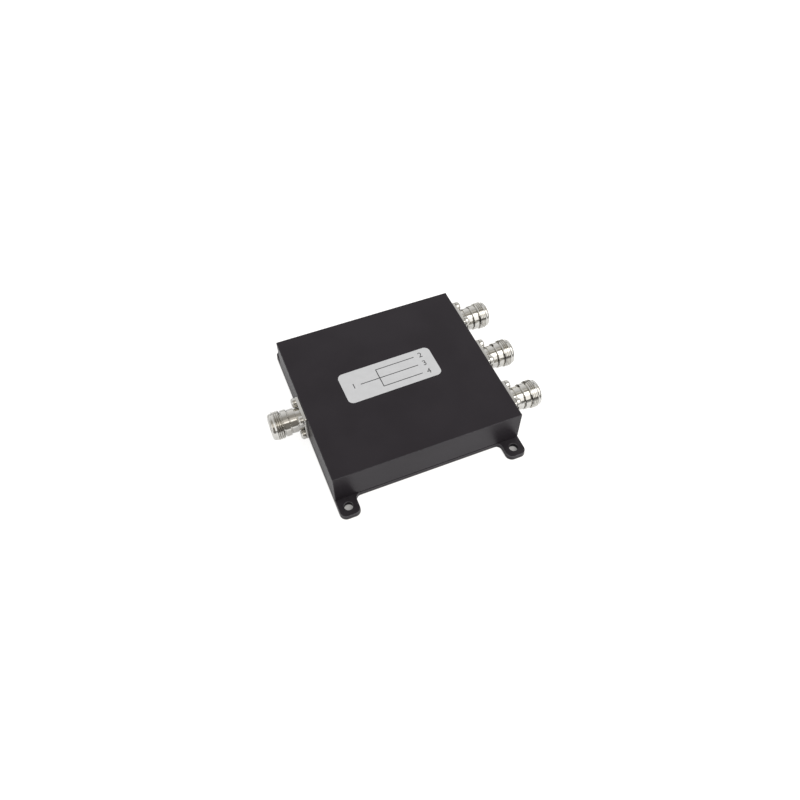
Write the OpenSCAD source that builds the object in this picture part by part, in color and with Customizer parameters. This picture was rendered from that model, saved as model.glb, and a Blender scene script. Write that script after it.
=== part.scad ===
// Three-way coaxial power splitter: a milled case on a base plate with ears,
// one input jack at -X and three output jacks at +X.
// The origin is the middle of the base plate's underside, with +Z up.

/* [Case] */
// Length of the case between the two walls that carry the jacks
case_l = 107; // [96:0.5:140]
// Width of the case across the row of outputs
case_w = 99; // [94:0.5:130]
// Height of the case above the base plate
case_h = 20.25; // [19.75:0.25:30]
// Thickness of the four side walls
wall = 7; // [6:0.25:9]
// Thickness of the roof
roof_t = 3; // [2:0.25:4]
// Radius of the cutter that leaves the cavity's upright corners
pocket_r = 4; // [2:0.5:6]
// Break on every outer edge of the case
edge_break = 0.3; // [0.1:0.05:0.8]

/* [Base plate] */
// Thickness of the base plate
plate_t = 3; // [2:0.1:4]
// Width of a mounting ear along the case
ear_w = 11; // [9:0.5:16]
// Reach of a mounting ear beyond the case
ear_reach = 11.1; // [9:0.1:16]
// Radius of an ear's outer corners
ear_r = 3.5; // [1:0.25:4]
// Radius of the fillet between an ear and the plate
ear_fillet = 3.5; // [1:0.25:6]
// Diameter of a mounting hole
mount_hole_d = 4.8; // [4:0.1:6.5]
// Distance from the case to a mounting hole's axis
mount_hole_out = 5.5; // [5:0.1:6.5]
// Chamfer at both ends of a mounting hole
mount_hole_break = 0.2; // [0.1:0.05:0.5]

/* [Label] */
// Length of the label on the roof
label_l = 55.3; // [30:0.1:80]
// Width of the label
label_w = 21.2; // [12:0.1:40]
// Thickness of the label
label_t = 0.15; // [0.05:0.05:0.5]
// Radius of the label's corners
label_r = 3.2; // [0.5:0.1:6]
// Middle of the label along the case
label_x = -1.75; // [-12:0.05:12]
// Middle of the label across the case
label_y = 2.7; // [-20:0.05:20]
// Turn of the label, which is put on by hand
label_turn = 1.1; // [-3:0.1:3]

/* [Ports] */
// Height of the jacks' axes above the plate's underside
port_z = 13.75; // [12:0.05:14.5]
// Distance between neighbouring outputs
port_pitch = 32.5; // [24:0.1:33]

/* [Jack shell] */
// Side of the square flange
flange_w = 17.2; // [16.4:0.1:18.4]
// Thickness of the flange
flange_t = 1.8; // [1.2:0.1:4]
// Radius of the flange's corners
flange_r = 0.8; // [0.2:0.1:2]
// Diameter of the plain neck
neck_d = 13.4; // [12.8:0.1:14.4]
// Length of the neck from the flange to the first groove
neck_l = 6.4; // [4.5:0.1:10]
// Width of the groove between neck and collar
groove_w = 0.5; // [0.3:0.05:1]
// Diameter at the bottom of that groove
groove_d = 12.4; // [11.8:0.1:12.7]
// Diameter of the collar
collar_d = 14.7; // [13.6:0.1:15.6]
// Length of the collar
collar_l = 3.2; // [2:0.1:5]
// Width of the relief between collar and thread
relief_w = 0.7; // [0.4:0.05:1.5]
// Diameter at the bottom of the relief
relief_d = 13; // [12:0.1:13.5]
// Outer diameter of the coupling thread
thread_d = 15.875; // [15:0.025:17]
// Length of the coupling thread at its full diameter
thread_l = 3.7; // [3:0.1:8]
// Length of the taper that leads onto the thread
thread_lead = 0.9; // [0.3:0.1:2]
// Diameter of the plain nose ahead of the thread
nose_d = 14.8; // [14:0.1:14.9]
// Length of the nose
nose_l = 1.9; // [1.6:0.1:3]
// Radius that rounds the nose
nose_r = 1.5; // [0.3:0.05:1.55]
// Diameter of the socket
socket_d = 8.8; // [8:0.05:9.4]
// Depth of the socket down to the insulator
socket_depth = 9.1; // [7:0.1:11]
// Lead-in chamfer at the socket's mouth
mouth_break = 0.6; // [0.2:0.05:1]

/* [Jack core] */
// Diameter of the insulator
insulator_d = 10; // [9.6:0.1:11]
// Length of narrow bore at the back of the insulator
insulator_back = 3; // [1:0.1:5]
// Diameter of the centre contact
contact_d = 3.04; // [2.8:0.02:3.4]
// Distance from the nose to the contact's tip
contact_recess = 4.5; // [3.5:0.1:6]
// Diameter of the hole in the contact's tip
contact_bore_d = 1.7; // [1.4:0.05:2]
// Depth of the hole in the contact's tip
contact_bore_depth = 6; // [3:0.1:8]
// Width of the spring slots in the contact
slot_w = 0.35; // [0.2:0.05:0.5]
// Length of the spring slots
slot_l = 4; // [2:0.1:6]
// Diameter of the solder tail
tail_d = 1.3; // [1:0.05:1.6]
// Length of the tail inside the case
tail_l = 6; // [3:0.1:8]
// Height of the flat on the tail above its axis
tail_flat = 0.45; // [0.2:0.05:0.48]

/* [Fasteners] */
// Diameter of all screws
screw_d = 3; // [2.4:0.1:3.2]
// Diameter of a pan head
pan_d = 5.5; // [4.8:0.1:5.8]
// Height of a pan head
pan_h = 2.6; // [1.8:0.1:3]
// Distance between the screws on a flange
flange_pitch = 12.7; // [12.4:0.1:13]
// Length of a flange screw below its head
flange_screw_l = 6; // [4:0.5:7]
// Head diameter of a cover screw
flat_d = 5.6; // [4.8:0.1:6]
// Length of a cover screw with its head
cover_screw_l = 8; // [6:0.5:10]
// Depth of a cover screw's head below the plate's underside
cover_sink = 0.15; // [0.1:0.05:0.4]
// Length of a board screw below its head
board_screw_l = 6; // [4:0.5:6.5]
// Width of the blades of a screw's cross recess
cross_w = 0.7; // [0.4:0.05:1]
// Length of the blades of a screw's cross recess
cross_l = 3; // [2:0.1:3.6]
// Depth of a screw's cross recess
cross_depth = 1.1; // [0.6:0.1:1.5]

/* [Circuit board] */
// Thickness of the board
board_t = 1.6; // [0.8:0.1:2]
// Thickness of the copper on both faces
foil_t = 0.07; // [0.035:0.005:0.15]
// Gap between the board and the cavity's walls
board_gap = 0.5; // [0.3:0.1:1]
// Diameter of the bosses that carry the board
boss_d = 7; // [6:0.25:8]
// Width of the input and output lines
line_w = 4.4; // [3:0.1:5]
// Width of the network's arms
arm_w = 2; // [1.2:0.1:2.4]
// Distance between neighbouring arms where resistors bridge them
arm_pitch = 4.5; // [4:0.1:5]
// Length of one section of the network along the case
section_l = 18; // [14:0.25:19]
// Reach of the outer arms' loops
outer_loop = 20; // [16:0.5:26]
// Reach of the middle arm's loops
inner_loop = 8; // [6:0.5:11]
// Pull-back of the copper from the board's edge
copper_edge = 0.5; // [0.2:0.1:1]
// Length of a resistor
resistor_l = 3.2; // [3:0.1:3.6]
// Width of a resistor
resistor_w = 1.6; // [1.2:0.1:2]
// Height of a resistor
resistor_h = 0.6; // [0.4:0.05:1]

/* [Clearances] */
// Gap all round a round part in its hole
fit = 0.05; // [0.02:0.01:0.1]
// Gap all round a screw in a through hole
pass = 0.2; // [0.1:0.05:0.3]
// Gap between a flange screw's head and the shell
head_gap = 0.1; // [0.05:0.05:0.3]
// Depth of a tapped hole beyond the screw's tip
tap_run = 0.6; // [0.3:0.1:0.8]

/* [Hidden] */
$fn = 64;
// Overlap of joined solids, reach of a cutter past a face, and step of drawn arcs in degrees
eps = 0.01;
over = 1;
arc_step = 15;

top_z = plate_t + case_h;
ceiling_z = top_z - roof_t;
half_l = case_l / 2;
half_w = case_w / 2;
inner_l = case_l - 2 * wall;
inner_w = case_w - 2 * wall;

// The shell is turned down beside the flange, to clear the screws' heads
waist_d = min(neck_d, flange_pitch * sqrt(2) - pan_d - 2 * head_gap);

// Stations along a jack's axis, from the wall's outer face outwards
waist_end = flange_t + pan_h + 2 * head_gap;
neck_end = flange_t + neck_l;
collar_start = neck_end + groove_w;
collar_end = collar_start + collar_l;
thread_start = collar_end + relief_w;
thread_end = thread_start + thread_l;
nose_end = thread_end + thread_lead + nose_l;
shoulder = nose_end - socket_depth;
contact_tip = nose_end - contact_recess;
contact_back = insulator_back - wall;
tail_end = -wall - tail_l;
core_bore_d = insulator_d + 2 * fit;

// Heights of the board's layers, trace side down
trace_z = port_z + tail_flat;
board_z = trace_z + foil_t;
ground_z = board_z + board_t;
seat_z = ground_z + foil_t;
board_l = inner_l - 2 * board_gap;
board_w = inner_w - 2 * board_gap;

// Each port is its side of the case and its place across it
port_in = [-1, 0];
port_out_1 = [1, port_pitch];
port_out_2 = [1, 0];
port_out_3 = [1, -port_pitch];
ports = [port_in, port_out_1, port_out_2, port_out_3];

// Places of the screws that hold the base plate, in the middle of the walls
cover_x = half_l - wall / 2;
cover_y = half_w - wall / 2;
cover_points = concat(
    [for (sx = [-1, 1], sy = [-1, 1]) [sx * cover_x, sy * cover_y]],
    [for (sx = [-1, 1], sy = [-1, 1]) [sx * cover_x, sy * port_pitch / 2]],
    [for (sy = [-1, 1]) [0, sy * cover_y]]
);

// Places of the screws that hold the board, beside the lines
board_edge = pan_d / 2 + 2 * copper_edge;
board_points = concat(
    [for (sx = [-1, 1], sy = [-1, 1]) [sx * (board_l / 2 - board_edge), sy * port_pitch / 2]],
    [for (sy = [-1, 1]) [0, sy * (board_w / 2 - board_edge)]]
);

// The network has equal sections that end at resistors
section_count = 3;
network_start = -section_count * section_l / 2 - arm_pitch;
network_end = network_start + section_count * section_l;
copper_l = board_l / 2 - copper_edge;
loop_lead = arm_w;

// Rectangle about the origin with round corners
module round_rect(l, w, r) {
    square([l - 2 * r, w], center = true);
    square([l, w - 2 * r], center = true);
    for (sx = [-1, 1], sy = [-1, 1])
        translate([sx * (l / 2 - r), sy * (w / 2 - r)]) circle(r);
}

// Rectangle about the origin with cut corners
module cut_rect(l, w, c) {
    polygon([
        [-l / 2 + c, -w / 2], [l / 2 - c, -w / 2], [l / 2, -w / 2 + c], [l / 2, w / 2 - c],
        [l / 2 - c, w / 2], [-l / 2 + c, w / 2], [-l / 2, w / 2 - c], [-l / 2, -w / 2 + c]
    ]);
}

// Puts a jack's own frame, +X outwards from the wall, at a port
module at_port(port) {
    translate([port[0] * half_l, port[1], port_z])
        rotate([0, 0, port[0] < 0 ? 180 : 0])
            children();
}

// Four places on a flange
module at_flange_screws() {
    for (sy = [-1, 1], sz = [-1, 1])
        translate([0, sy * flange_pitch / 2, sz * flange_pitch / 2]) children();
}

module cross_recess() {
    for (a = [45, 135])
        rotate(a) cube([cross_l, cross_w, 2 * cross_depth], center = true);
}

// Pan head screw with its bearing face at the origin and its head upwards
module pan_screw(l) {
    crown = pan_h / 2;
    difference() {
        rotate_extrude()
            polygon(concat(
                [[0, -l], [screw_d / 2, -l], [screw_d / 2, 0], [pan_d / 2, 0]],
                [
                    for (a = [0:arc_step:90])
                        [pan_d / 2 - crown * (1 - cos(a)), pan_h - crown + crown * sin(a)]
                ],
                [[0, pan_h]]
            ));
        translate([0, 0, pan_h]) cross_recess();
    }
}

// Countersunk screw with the face of its head at the origin and its tip upwards
module flat_screw(l) {
    cone_h = (flat_d - screw_d) / 2;
    difference() {
        rotate_extrude()
            polygon([[0, 0], [flat_d / 2, 0], [screw_d / 2, cone_h], [screw_d / 2, l], [0, l]]);
        cross_recess();
    }
}

module boss(point) {
    translate([point[0], point[1], seat_z]) cylinder(d = boss_d, h = ceiling_z - seat_z + eps);
}

// Block with every edge broken, standing on the base plate
module case_block() {
    translate([0, 0, plate_t + case_h / 2])
        intersection() {
            linear_extrude(case_h, center = true) cut_rect(case_l, case_w, edge_break);
            rotate([90, 0, 0]) linear_extrude(case_w, center = true) cut_rect(case_l, case_h, edge_break);
            rotate([90, 0, 90]) linear_extrude(case_l, center = true) cut_rect(case_w, case_h, edge_break);
        }
}

module housing() {
    tapped_d = screw_d + 2 * fit;
    color("#2b292b")
        difference() {
            union() {
                difference() {
                    case_block();
                    translate([0, 0, plate_t - eps])
                        linear_extrude(ceiling_z - plate_t + eps) round_rect(inner_l, inner_w, pocket_r);
                }
                for (p = board_points) boss(p);
            }
            for (port = ports)
                at_port(port) {
                    translate([-wall - over, 0, 0])
                        rotate([0, 90, 0]) cylinder(d = core_bore_d, h = wall + 2 * over);
                    at_flange_screws()
                        translate([flange_t - flange_screw_l - tap_run, 0, 0])
                            rotate([0, 90, 0]) cylinder(d = tapped_d, h = flange_screw_l + tap_run);
                }
            for (p = cover_points)
                translate([p[0], p[1], plate_t - over])
                    cylinder(d = tapped_d, h = cover_sink + cover_screw_l + tap_run - plate_t + over);
            for (p = board_points)
                translate([p[0], p[1], seat_z - over])
                    cylinder(d = tapped_d, h = board_z + board_screw_l + tap_run - seat_z + over);
        }
}

// Outline of one ear in its corner of the plate, with the fillet beside it
module ear() {
    ear_end = half_w + ear_reach;
    inner_x = half_l - ear_w;
    translate([inner_x, 0]) square([ear_w, ear_end - ear_r]);
    translate([inner_x + ear_r, 0]) square([ear_w - 2 * ear_r, ear_end]);
    for (x = [inner_x + ear_r, half_l - ear_r])
        translate([x, ear_end - ear_r]) circle(ear_r);
    difference() {
        translate([inner_x - ear_fillet, half_w - eps]) square([ear_fillet + eps, ear_fillet + eps]);
        translate([inner_x - ear_fillet, half_w + ear_fillet]) circle(ear_fillet);
    }
}

// Mounting hole with a small chamfer at both ends
module mount_hole() {
    r = mount_hole_d / 2;
    b = mount_hole_break;
    rotate_extrude()
        polygon([
            [0, -over], [r + b + over, -over], [r, b],
            [r, plate_t - b], [r + b + over, plate_t + over], [0, plate_t + over]
        ]);
}

module base_plate() {
    head_r = flat_d / 2 + fit;
    hole_r = screw_d / 2 + pass;
    sink_h = head_r - hole_r;
    color("#1f1e20")
        difference() {
            linear_extrude(plate_t)
                union() {
                    square([case_l, case_w], center = true);
                    for (mx = [0, 1], my = [0, 1])
                        mirror([mx, 0]) mirror([0, my]) ear();
                }
            for (sx = [-1, 1], sy = [-1, 1])
                translate([sx * (half_l - ear_w / 2), sy * (half_w + mount_hole_out), 0]) mount_hole();
            for (p = cover_points)
                translate([p[0], p[1], 0])
                    rotate_extrude()
                        polygon([
                            [0, -over], [head_r, -over], [head_r, cover_sink],
                            [hole_r, cover_sink + sink_h], [hole_r, plate_t + over], [0, plate_t + over]
                        ]);
        }
}

module base_screws() {
    color("#3a3a3c")
        for (p = cover_points)
            translate([p[0], p[1], cover_sink]) flat_screw(cover_screw_l);
}

module label() {
    color("#d3d3d2")
        translate([label_x, label_y, top_z])
            rotate(label_turn) linear_extrude(label_t) round_rect(label_l, label_w, label_r);
}

// Sheet of the board's size with a hole at each board screw
module board_sheet(l, w, t) {
    linear_extrude(t)
        difference() {
            round_rect(l, w, pocket_r);
            for (p = board_points) translate(p) circle(d = screw_d + 2 * pass);
        }
}

module splitter_board() {
    color("#e6dfc6") translate([0, 0, board_z]) board_sheet(board_l, board_w, board_t);
}

module ground_foil() {
    color("#b87333")
        translate([0, 0, ground_z])
            board_sheet(board_l - 2 * copper_edge, board_w - 2 * copper_edge, foil_t);
}

// Strip of constant width along a path of right angles, with round corners
module strip(path, w) {
    for (i = [0:len(path) - 2]) {
        a = path[i];
        b = path[i + 1];
        translate((a + b) / 2) square([abs(b[0] - a[0]) + eps, abs(b[1] - a[1]) + eps] + w * (
            abs(b[0] - a[0]) > abs(b[1] - a[1]) ? [0, 1] : [1, 0]), center = true);
    }
    for (i = [1:len(path) - 2]) translate(path[i]) circle(d = w);
}

// One section of an outer arm, out and back
function outer_section(x, side) = [
    [x, side * arm_pitch], [x + loop_lead, side * arm_pitch], [x + loop_lead, side * outer_loop],
    [x + section_l - loop_lead, side * outer_loop], [x + section_l - loop_lead, side * arm_pitch],
    [x + section_l, side * arm_pitch]
];

// One section of the middle arm, with a loop to each side
function inner_section(x) = [
    [x, 0], [x + loop_lead, 0], [x + loop_lead, inner_loop], [x + section_l / 2, inner_loop],
    [x + section_l / 2, -inner_loop], [x + section_l - loop_lead, -inner_loop],
    [x + section_l - loop_lead, 0], [x + section_l, 0]
];

module copper_trace() {
    fan_x = network_end + arm_pitch;
    color("#b87333")
        translate([0, 0, trace_z])
            linear_extrude(foil_t)
                union() {
                    strip([[-copper_l, 0], [network_start, 0]], line_w);
                    strip([[network_start, -arm_pitch], [network_start, arm_pitch]], arm_w);
                    for (i = [0:section_count - 1]) {
                        strip(inner_section(network_start + i * section_l), arm_w);
                        for (side = [-1, 1])
                            strip(outer_section(network_start + i * section_l, side), arm_w);
                    }
                    for (i = [0:section_count], side = [-1, 0, 1])
                        translate([network_start + i * section_l, side * arm_pitch]) circle(d = arm_w);
                    strip([[network_end, 0], [copper_l, 0]], line_w);
                    for (side = [-1, 1]) {
                        strip([[network_end, side * arm_pitch], [fan_x, side * arm_pitch],
                            [fan_x, side * port_pitch], [fan_x + arm_w, side * port_pitch]], arm_w);
                        strip([[fan_x, side * port_pitch], [copper_l, side * port_pitch]], line_w);
                    }
                }
}

// Chip resistor under the copper, across two arms, with raised end caps
module resistor() {
    cap = resistor_l / 6;
    skin = resistor_h / 20;
    translate([0, 0, -resistor_h / 2])
        union() {
            cube([resistor_w, resistor_l, resistor_h - 2 * skin], center = true);
            for (s = [-1, 1])
                translate([0, s * (resistor_l - cap) / 2, 0])
                    cube([resistor_w, cap, resistor_h], center = true);
        }
}

module isolation_resistors() {
    color("#26272a")
        for (i = [1:section_count], side = [-1, 1])
            translate([network_start + i * section_l, side * arm_pitch / 2, trace_z]) resistor();
}

module board_screws() {
    color("#b9bbbd")
        for (p = board_points)
            translate([p[0], p[1], board_z]) rotate([180, 0, 0]) pan_screw(board_screw_l);
}

// Turned shell with its square flange, in the jack's own frame
module jack_shell() {
    core_r = core_bore_d / 2;
    nose_edge = nose_d / 2 - nose_r;
    color("#b9b8b3")
        union() {
            rotate([90, 0, 90])
                linear_extrude(flange_t)
                    difference() {
                        round_rect(flange_w, flange_w, flange_r);
                        circle(d = core_bore_d);
                        for (sy = [-1, 1], sz = [-1, 1])
                            translate([sy, sz] * flange_pitch / 2) circle(d = screw_d + 2 * pass);
                    }
            rotate([0, 90, 0])
                rotate_extrude()
                    polygon(concat(
                        [
                            [core_r, 0], [waist_d / 2, 0], [waist_d / 2, waist_end],
                            [neck_d / 2, waist_end], [neck_d / 2, neck_end],
                            [groove_d / 2, neck_end], [groove_d / 2, collar_start],
                            [collar_d / 2, collar_start], [collar_d / 2, collar_end],
                            [relief_d / 2, collar_end], [relief_d / 2, thread_start],
                            [thread_d / 2, thread_start], [thread_d / 2, thread_end],
                            [nose_d / 2, thread_end + thread_lead]
                        ],
                        [
                            for (a = [0:arc_step:90])
                                [nose_edge + nose_r * cos(a), nose_end - nose_r + nose_r * sin(a)]
                        ],
                        [
                            [socket_d / 2 + mouth_break, nose_end], [socket_d / 2, nose_end - mouth_break],
                            [socket_d / 2, shoulder], [core_r, shoulder]
                        ]
                    ));
        }
}

module jack_insulator() {
    hole_r = contact_d / 2 + fit;
    tail_r = tail_d / 2 + fit;
    color("#f4f3ee")
        rotate([0, 90, 0])
            rotate_extrude()
                polygon([
                    [tail_r, -wall], [insulator_d / 2, -wall], [insulator_d / 2, shoulder],
                    [hole_r, shoulder], [hole_r, contact_back], [tail_r, contact_back]
                ]);
}

// Centre contact with a slotted socket in front and a flat on its tail
module jack_contact() {
    tip_break = (contact_d - contact_bore_d) / 4;
    color("#c9a646")
        difference() {
            rotate([0, 90, 0])
                rotate_extrude()
                    polygon([
                        [0, tail_end], [tail_d / 2, tail_end], [tail_d / 2, contact_back],
                        [contact_d / 2, contact_back], [contact_d / 2, contact_tip - tip_break],
                        [contact_d / 2 - tip_break, contact_tip], [contact_bore_d / 2, contact_tip],
                        [contact_bore_d / 2, contact_tip - contact_bore_depth],
                        [0, contact_tip - contact_bore_depth - contact_bore_d / 2]
                    ]);
            for (a = [0, 90])
                rotate([a, 0, 0])
                    translate([contact_tip - slot_l, -slot_w / 2, -contact_d])
                        cube([slot_l + over, slot_w, 2 * contact_d]);
            translate([tail_end - over, -tail_d, tail_flat]) cube([tail_l + over, 2 * tail_d, tail_d]);
        }
}

module jack_screws() {
    color("#c4c3be")
        at_flange_screws()
            translate([flange_t, 0, 0]) rotate([0, 90, 0]) pan_screw(flange_screw_l);
}

module input_shell() { at_port(port_in) jack_shell(); }
module input_insulator() { at_port(port_in) jack_insulator(); }
module input_contact() { at_port(port_in) jack_contact(); }
module input_flange_screws() { at_port(port_in) jack_screws(); }
module output_1_shell() { at_port(port_out_1) jack_shell(); }
module output_1_insulator() { at_port(port_out_1) jack_insulator(); }
module output_1_contact() { at_port(port_out_1) jack_contact(); }
module output_1_flange_screws() { at_port(port_out_1) jack_screws(); }
module output_2_shell() { at_port(port_out_2) jack_shell(); }
module output_2_insulator() { at_port(port_out_2) jack_insulator(); }
module output_2_contact() { at_port(port_out_2) jack_contact(); }
module output_2_flange_screws() { at_port(port_out_2) jack_screws(); }
module output_3_shell() { at_port(port_out_3) jack_shell(); }
module output_3_insulator() { at_port(port_out_3) jack_insulator(); }
module output_3_contact() { at_port(port_out_3) jack_contact(); }
module output_3_flange_screws() { at_port(port_out_3) jack_screws(); }

housing();
base_plate();
base_screws();
label();
splitter_board();
ground_foil();
copper_trace();
isolation_resistors();
board_screws();
input_shell();
input_insulator();
input_contact();
input_flange_screws();
output_1_shell();
output_1_insulator();
output_1_contact();
output_1_flange_screws();
output_2_shell();
output_2_insulator();
output_2_contact();
output_2_flange_screws();
output_3_shell();
output_3_insulator();
output_3_contact();
output_3_flange_screws();
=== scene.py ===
import bpy
import math
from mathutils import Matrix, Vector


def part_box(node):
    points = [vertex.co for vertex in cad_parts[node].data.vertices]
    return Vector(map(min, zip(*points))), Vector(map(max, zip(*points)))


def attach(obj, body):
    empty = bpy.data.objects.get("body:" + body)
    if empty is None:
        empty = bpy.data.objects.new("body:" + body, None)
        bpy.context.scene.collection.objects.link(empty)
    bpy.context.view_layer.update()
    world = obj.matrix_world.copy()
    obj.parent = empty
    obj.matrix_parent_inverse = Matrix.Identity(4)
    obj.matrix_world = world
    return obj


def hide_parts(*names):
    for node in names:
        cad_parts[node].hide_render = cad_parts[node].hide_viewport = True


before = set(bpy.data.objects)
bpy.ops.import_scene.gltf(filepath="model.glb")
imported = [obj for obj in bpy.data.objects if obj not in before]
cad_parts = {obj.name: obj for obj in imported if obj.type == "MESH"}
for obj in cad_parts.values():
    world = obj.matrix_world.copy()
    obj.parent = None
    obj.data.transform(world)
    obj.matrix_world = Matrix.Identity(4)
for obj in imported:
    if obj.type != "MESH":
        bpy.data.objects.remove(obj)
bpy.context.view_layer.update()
mm = 0.001  # pieces are drawn in millimetres and shrunk to metres at the end
quarterTurn = math.pi / 2
sameWithin = 0.01  # two places this close count as one
mergeWithin = 0.0005
facing = 0.9  # least share of a normal that counts as facing a way
print("frame loaded with", len(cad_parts), "nodes")


def boxInMm(node):
    # lowest and highest corner of a CAD node, to a hundredth
    return [[round(part / mm, 2) for part in corner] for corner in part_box(node)]


def middleOf(node):
    return [round((a + b) / 2, 2) for a, b in zip(*boxInMm(node))]


def metres(length):
    return round(length * mm, 7)


# what several pieces share
caseHigh = boxInMm("housing")[1]
plateHigh = boxInMm("base_plate")[1]
portPitch = middleOf("output_1_shell")[1]
portHeight = middleOf("input_shell")[2]
earWidth, earRound = 11, 3.5


# small helpers for working as by hand

def clearSelection():
    if bpy.context.mode != "OBJECT":
        bpy.ops.object.mode_set(mode="OBJECT")
    bpy.ops.object.select_all(action="DESELECT")


def pick(obj, *others):
    clearSelection()
    for o in (obj, *others):
        o.select_set(True)
    bpy.context.view_layer.objects.active = obj
    return obj


def fixPlace(obj):
    pick(obj)
    bpy.ops.object.transform_apply(location=True, rotation=True, scale=True)
    return obj


def pickEdges(obj, wanted):
    pick(obj)
    bpy.ops.object.mode_set(mode="EDIT")
    bpy.ops.mesh.select_mode(type="EDGE")
    bpy.ops.mesh.select_all(action="DESELECT")
    bpy.ops.object.mode_set(mode="OBJECT")
    points = obj.data.vertices
    for edge in obj.data.edges:
        a, b = (points[i].co for i in edge.vertices)
        edge.select = bool(wanted(a, b))
    bpy.ops.object.mode_set(mode="EDIT")


def pickFaces(obj, wanted):
    pick(obj)
    bpy.ops.object.mode_set(mode="EDIT")
    bpy.ops.mesh.select_mode(type="FACE")
    bpy.ops.mesh.select_all(action="DESELECT")
    bpy.ops.object.mode_set(mode="OBJECT")
    for face in obj.data.polygons:
        face.select = bool(wanted(face.center, face.normal))
    bpy.ops.object.mode_set(mode="EDIT")


def bevelPicked(width, segments, affect="EDGES"):
    bpy.ops.mesh.bevel(offset=width, segments=segments, affect=affect)
    bpy.ops.object.mode_set(mode="OBJECT")


def useModifier(obj, kind, **settings):
    pick(obj)
    bpy.ops.object.modifier_add(type=kind)
    modifier = obj.modifiers[-1]
    for key, value in settings.items():
        setattr(modifier, key, value)
    bpy.ops.object.modifier_apply(modifier=modifier.name)


def breakEdges(obj, width, segments=2, angle=40):
    useModifier(obj, "BEVEL", width=width, segments=segments, limit_method="ANGLE",
                angle_limit=math.radians(angle))


def cutAway(obj, cutter):
    useModifier(obj, "BOOLEAN", operation="DIFFERENCE", solver="EXACT", object=cutter)
    bpy.data.objects.remove(cutter)


def joinAll(obj, *others):
    pick(obj, *others)
    bpy.ops.object.join()
    return obj


def cleanMesh(obj, angle=30):
    pick(obj)
    bpy.ops.object.mode_set(mode="EDIT")
    bpy.ops.mesh.select_all(action="SELECT")
    bpy.ops.mesh.remove_doubles(threshold=mergeWithin)
    bpy.ops.mesh.normals_make_consistent(inside=False)
    bpy.ops.object.mode_set(mode="OBJECT")
    bpy.ops.object.shade_smooth_by_angle(angle=math.radians(angle))
    return obj


def toMetres(obj):
    obj.scale = (mm, mm, mm)
    return fixPlace(obj)


def copyOf(obj, name):
    pick(obj)
    bpy.ops.object.duplicate(linked=False)
    copy = bpy.context.object
    copy.name = copy.data.name = name
    return copy


def paint(obj, material):
    obj.data.materials.clear()
    obj.data.materials.append(material)


def dress(obj, node, material):
    paint(obj, material)
    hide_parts(node)
    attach(obj, "root")


def addBlock(size, place, turn=0):
    clearSelection()
    bpy.ops.mesh.primitive_cube_add(size=1, location=place, rotation=(math.radians(turn), 0, 0), scale=size)
    return fixPlace(bpy.context.object)


def addSheet(length, width, place):
    clearSelection()
    bpy.ops.mesh.primitive_plane_add(size=1, location=place)
    sheet = bpy.context.object
    sheet.scale = (length, width, 1)
    return fixPlace(sheet)


def turned(name, stations, segments=96):
    # a ring is drawn out along X from station to station, as on a lathe
    clearSelection()
    x, r = stations[0]
    shut = stations[0] == stations[-1]
    bpy.ops.mesh.primitive_circle_add(vertices=segments, radius=r, location=(x, 0, 0),
                                      rotation=(0, quarterTurn, 0), fill_type="NOTHING" if shut else "NGON")
    obj = bpy.context.object
    obj.name = obj.data.name = name
    fixPlace(obj)
    pickEdges(obj, lambda a, b: True)
    for (x0, r0), (x1, r1) in zip(stations, stations[1:]):
        bpy.ops.mesh.extrude_edges_move(TRANSFORM_OT_translate={"value": (x1 - x0, 0, 0)})
        if r1 != r0:
            bpy.ops.transform.resize(value=(1, r1 / r0, r1 / r0), center_override=(x1, 0, 0))
    if not shut:
        bpy.ops.mesh.edge_face_add()
    bpy.ops.object.mode_set(mode="OBJECT")
    return cleanMesh(obj)


def standAt(obj, x, y):
    # what was turned along X is stood up on the ground
    obj.rotation_euler = (0, -quarterTurn, 0)
    obj.location = (x, y, 0)
    return fixPlace(obj)


# small helpers for node trees

def link(tree, source, target):
    tree.links.new(source, target)


def feed(tree, socket, value):
    # a socket takes a colour, a number or another node's output
    if isinstance(value, tuple):
        socket.default_value = (*value, 1)
    elif isinstance(value, (int, float)):
        socket.default_value = value
    else:
        link(tree, value, socket)


def addNode(tree, kind, **settings):
    node = tree.nodes.new(kind)
    for key, value in settings.items():
        setattr(node, key, value)
    return node


def addMath(tree, operation, *values):
    node = addNode(tree, "ShaderNodeMath", operation=operation)
    for socket, value in zip(node.inputs, values):
        feed(tree, socket, value)
    return node.outputs[0]


def addRange(tree, value, low, high, outLow, outHigh):
    node = addNode(tree, "ShaderNodeMapRange")
    link(tree, value, node.inputs["Value"])
    for key, number in (("From Min", low), ("From Max", high), ("To Min", outLow), ("To Max", outHigh)):
        node.inputs[key].default_value = number
    return node.outputs["Result"]


def addBlend(tree, factor, first, second):
    node = addNode(tree, "ShaderNodeMix", data_type="RGBA")
    for key, value in (("Factor", factor), ("A", first), ("B", second)):
        feed(tree, node.inputs[key], value)
    return node.outputs["Result"]


def addLength(tree, a, b):
    squares = addMath(tree, "ADD", addMath(tree, "MULTIPLY", a, a), addMath(tree, "MULTIPLY", b, b))
    return addMath(tree, "SQRT", squares)


def addWithin(tree, value, low, high):
    # 1 between two limits and 0 outside them
    above = addMath(tree, "GREATER_THAN", value, low)
    return addMath(tree, "MULTIPLY", above, addMath(tree, "LESS_THAN", value, high))


def splitPlace(tree, coords):
    parts = addNode(tree, "ShaderNodeSeparateXYZ")
    link(tree, coords, parts.inputs[0])
    return [parts.outputs[axis] for axis in "XYZ"]


def addShader(tree, kind, **values):
    node = addNode(tree, kind)
    for key, value in values.items():
        feed(tree, node.inputs[key], value)
    return node.outputs[0]


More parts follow.
